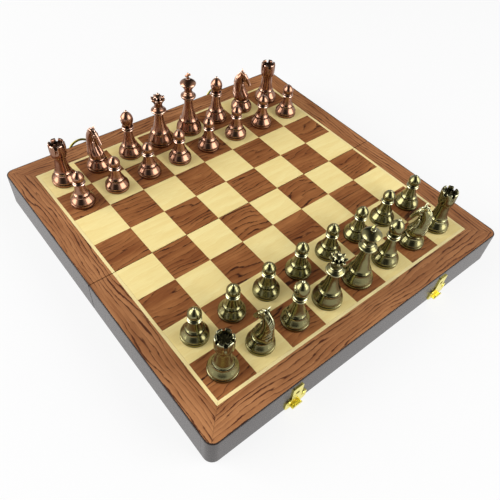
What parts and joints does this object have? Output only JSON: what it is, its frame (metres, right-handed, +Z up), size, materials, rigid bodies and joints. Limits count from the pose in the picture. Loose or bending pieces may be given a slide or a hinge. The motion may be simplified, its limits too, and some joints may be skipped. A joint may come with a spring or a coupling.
{
  "type": "folding chess set",
  "caption": "Folding wooden chess box with veneered squares, brass latches and fold hinges, set out with turned metal chessmen in brass and copper.",
  "frame": {"origin": "middle of the fold line, on the surface that the opened board rests on", "axes": "+X along the fold towards the h file, +Y from the near half to the far half, +Z up, out of the playing surface"},
  "size_m": [0.3, 0.3093, 0.0908],
  "materials": {
    "wall_lacquer": "dark brown gloss lacquer",
    "panel_wood": "plain sanded",
    "felt": "felt",
    "border_veneer": "gloss varnish",
    "stringing_veneer": "gloss varnish",
    "dark_veneer": "gloss varnish",
    "light_veneer": "gloss varnish",
    "yellow_brass": "bright lacquered brass",
    "antique_brass": "greenish antique brass, satin",
    "copper": "antique copper, satin"
  },
  "bodies": {
    "near_half": {"near_rails": "wall_lacquer", "near_panel": "panel_wood", "near_lining": "felt", "near_border": "border_veneer", "near_stringing": "stringing_veneer", "near_dark_squares": "dark_veneer", "near_light_squares": "light_veneer", "near_hinge_leaves": "yellow_brass", "hinge_pins": "yellow_brass", "latch_hook_plates": "yellow_brass"},
    "far_half": {"far_rails": "wall_lacquer", "far_panel": "panel_wood", "far_lining": "felt", "far_border": "border_veneer", "far_stringing": "stringing_veneer", "far_dark_squares": "dark_veneer", "far_light_squares": "light_veneer", "far_hinge_leaves": "yellow_brass", "latch_loop_brackets": "yellow_brass", "latch_loop_pins": "yellow_brass"},
    "latch_loop_left": {"latch_loop_left": "yellow_brass"},
    "latch_loop_right": {"latch_loop_right": "yellow_brass"},
    "near_rook_a": {"near_rook_a": "antique_brass"},
    "near_knight_b": {"near_knight_b": "antique_brass"},
    "near_bishop_c": {"near_bishop_c": "antique_brass"},
    "near_queen": {"near_queen": "antique_brass"},
    "near_king": {"near_king": "antique_brass"},
    "near_bishop_f": {"near_bishop_f": "antique_brass"},
    "near_knight_g": {"near_knight_g": "antique_brass"},
    "near_rook_h": {"near_rook_h": "antique_brass"},
    "near_pawn_a": {"near_pawn_a": "antique_brass"},
    "near_pawn_b": {"near_pawn_b": "antique_brass"},
    "near_pawn_c": {"near_pawn_c": "antique_brass"},
    "near_pawn_d": {"near_pawn_d": "antique_brass"},
    "near_pawn_e": {"near_pawn_e": "antique_brass"},
    "near_pawn_f": {"near_pawn_f": "antique_brass"},
    "near_pawn_g": {"near_pawn_g": "antique_brass"},
    "near_pawn_h": {"near_pawn_h": "antique_brass"},
    "far_rook_a": {"far_rook_a": "copper"},
    "far_knight_b": {"far_knight_b": "copper"},
    "far_bishop_c": {"far_bishop_c": "copper"},
    "far_queen": {"far_queen": "copper"},
    "far_king": {"far_king": "copper"},
    "far_bishop_f": {"far_bishop_f": "copper"},
    "far_knight_g": {"far_knight_g": "copper"},
    "far_rook_h": {"far_rook_h": "copper"},
    "far_pawn_a": {"far_pawn_a": "copper"},
    "far_pawn_b": {"far_pawn_b": "copper"},
    "far_pawn_c": {"far_pawn_c": "copper"},
    "far_pawn_d": {"far_pawn_d": "copper"},
    "far_pawn_e": {"far_pawn_e": "copper"},
    "far_pawn_f": {"far_pawn_f": "copper"},
    "far_pawn_g": {"far_pawn_g": "copper"},
    "far_pawn_h": {"far_pawn_h": "copper"}
  },
  "joints": [
    {"name": "board_fold", "type": "hinge", "parent": "near_half", "child": "far_half", "pos_m": [0, 0, 0.0011], "axis": [-1, 0, 0], "range_deg": [0, 180]},
    {"name": "latch_left_swing", "type": "hinge", "parent": "far_half", "child": "latch_loop_left", "pos_m": [-0.078, 0.1522, 0.01325], "axis": [-1, 0, 0], "range_deg": [-13, 171]},
    {"name": "latch_right_swing", "type": "hinge", "parent": "far_half", "child": "latch_loop_right", "pos_m": [0.078, 0.1522, 0.01325], "axis": [-1, 0, 0], "range_deg": [-13, 171]},
    {"name": "near_rook_a_lift", "type": "slide", "parent": "near_half", "child": "near_rook_a", "axis": [0, 0, 1], "range_m": [0, 0.08]},
    {"name": "near_knight_b_lift", "type": "slide", "parent": "near_half", "child": "near_knight_b", "axis": [0, 0, 1], "range_m": [0, 0.08]},
    {"name": "near_bishop_c_lift", "type": "slide", "parent": "near_half", "child": "near_bishop_c", "axis": [0, 0, 1], "range_m": [0, 0.08]},
    {"name": "near_queen_lift", "type": "slide", "parent": "near_half", "child": "near_queen", "axis": [0, 0, 1], "range_m": [0, 0.08]},
    {"name": "near_king_lift", "type": "slide", "parent": "near_half", "child": "near_king", "axis": [0, 0, 1], "range_m": [0, 0.08]},
    {"name": "near_bishop_f_lift", "type": "slide", "parent": "near_half", "child": "near_bishop_f", "axis": [0, 0, 1], "range_m": [0, 0.08]},
    {"name": "near_knight_g_lift", "type": "slide", "parent": "near_half", "child": "near_knight_g", "axis": [0, 0, 1], "range_m": [0, 0.08]},
    {"name": "near_rook_h_lift", "type": "slide", "parent": "near_half", "child": "near_rook_h", "axis": [0, 0, 1], "range_m": [0, 0.08]},
    {"name": "near_pawn_a_lift", "type": "slide", "parent": "near_half", "child": "near_pawn_a", "axis": [0, 0, 1], "range_m": [0, 0.08]},
    {"name": "near_pawn_b_lift", "type": "slide", "parent": "near_half", "child": "near_pawn_b", "axis": [0, 0, 1], "range_m": [0, 0.08]},
    {"name": "near_pawn_c_lift", "type": "slide", "parent": "near_half", "child": "near_pawn_c", "axis": [0, 0, 1], "range_m": [0, 0.08]},
    {"name": "near_pawn_d_lift", "type": "slide", "parent": "near_half", "child": "near_pawn_d", "axis": [0, 0, 1], "range_m": [0, 0.08]},
    {"name": "near_pawn_e_lift", "type": "slide", "parent": "near_half", "child": "near_pawn_e", "axis": [0, 0, 1], "range_m": [0, 0.08]},
    {"name": "near_pawn_f_lift", "type": "slide", "parent": "near_half", "child": "near_pawn_f", "axis": [0, 0, 1], "range_m": [0, 0.08]},
    {"name": "near_pawn_g_lift", "type": "slide", "parent": "near_half", "child": "near_pawn_g", "axis": [0, 0, 1], "range_m": [0, 0.08]},
    {"name": "near_pawn_h_lift", "type": "slide", "parent": "near_half", "child": "near_pawn_h", "axis": [0, 0, 1], "range_m": [0, 0.08]},
    {"name": "far_rook_a_lift", "type": "slide", "parent": "far_half", "child": "far_rook_a", "axis": [0, 0, 1], "range_m": [0, 0.08]},
    {"name": "far_knight_b_lift", "type": "slide", "parent": "far_half", "child": "far_knight_b", "axis": [0, 0, 1], "range_m": [0, 0.08]},
    {"name": "far_bishop_c_lift", "type": "slide", "parent": "far_half", "child": "far_bishop_c", "axis": [0, 0, 1], "range_m": [0, 0.08]},
    {"name": "far_queen_lift", "type": "slide", "parent": "far_half", "child": "far_queen", "axis": [0, 0, 1], "range_m": [0, 0.08]},
    {"name": "far_king_lift", "type": "slide", "parent": "far_half", "child": "far_king", "axis": [0, 0, 1], "range_m": [0, 0.08]},
    {"name": "far_bishop_f_lift", "type": "slide", "parent": "far_half", "child": "far_bishop_f", "axis": [0, 0, 1], "range_m": [0, 0.08]},
    {"name": "far_knight_g_lift", "type": "slide", "parent": "far_half", "child": "far_knight_g", "axis": [0, 0, 1], "range_m": [0, 0.08]},
    {"name": "far_rook_h_lift", "type": "slide", "parent": "far_half", "child": "far_rook_h", "axis": [0, 0, 1], "range_m": [0, 0.08]},
    {"name": "far_pawn_a_lift", "type": "slide", "parent": "far_half", "child": "far_pawn_a", "axis": [0, 0, 1], "range_m": [0, 0.08]},
    {"name": "far_pawn_b_lift", "type": "slide", "parent": "far_half", "child": "far_pawn_b", "axis": [0, 0, 1], "range_m": [0, 0.08]},
    {"name": "far_pawn_c_lift", "type": "slide", "parent": "far_half", "child": "far_pawn_c", "axis": [0, 0, 1], "range_m": [0, 0.08]},
    {"name": "far_pawn_d_lift", "type": "slide", "parent": "far_half", "child": "far_pawn_d", "axis": [0, 0, 1], "range_m": [0, 0.08]},
    {"name": "far_pawn_e_lift", "type": "slide", "parent": "far_half", "child": "far_pawn_e", "axis": [0, 0, 1], "range_m": [0, 0.08]},
    {"name": "far_pawn_f_lift", "type": "slide", "parent": "far_half", "child": "far_pawn_f", "axis": [0, 0, 1], "range_m": [0, 0.08]},
    {"name": "far_pawn_g_lift", "type": "slide", "parent": "far_half", "child": "far_pawn_g", "axis": [0, 0, 1], "range_m": [0, 0.08]},
    {"name": "far_pawn_h_lift", "type": "slide", "parent": "far_half", "child": "far_pawn_h", "axis": [0, 0, 1], "range_m": [0, 0.08]}
  ]
}
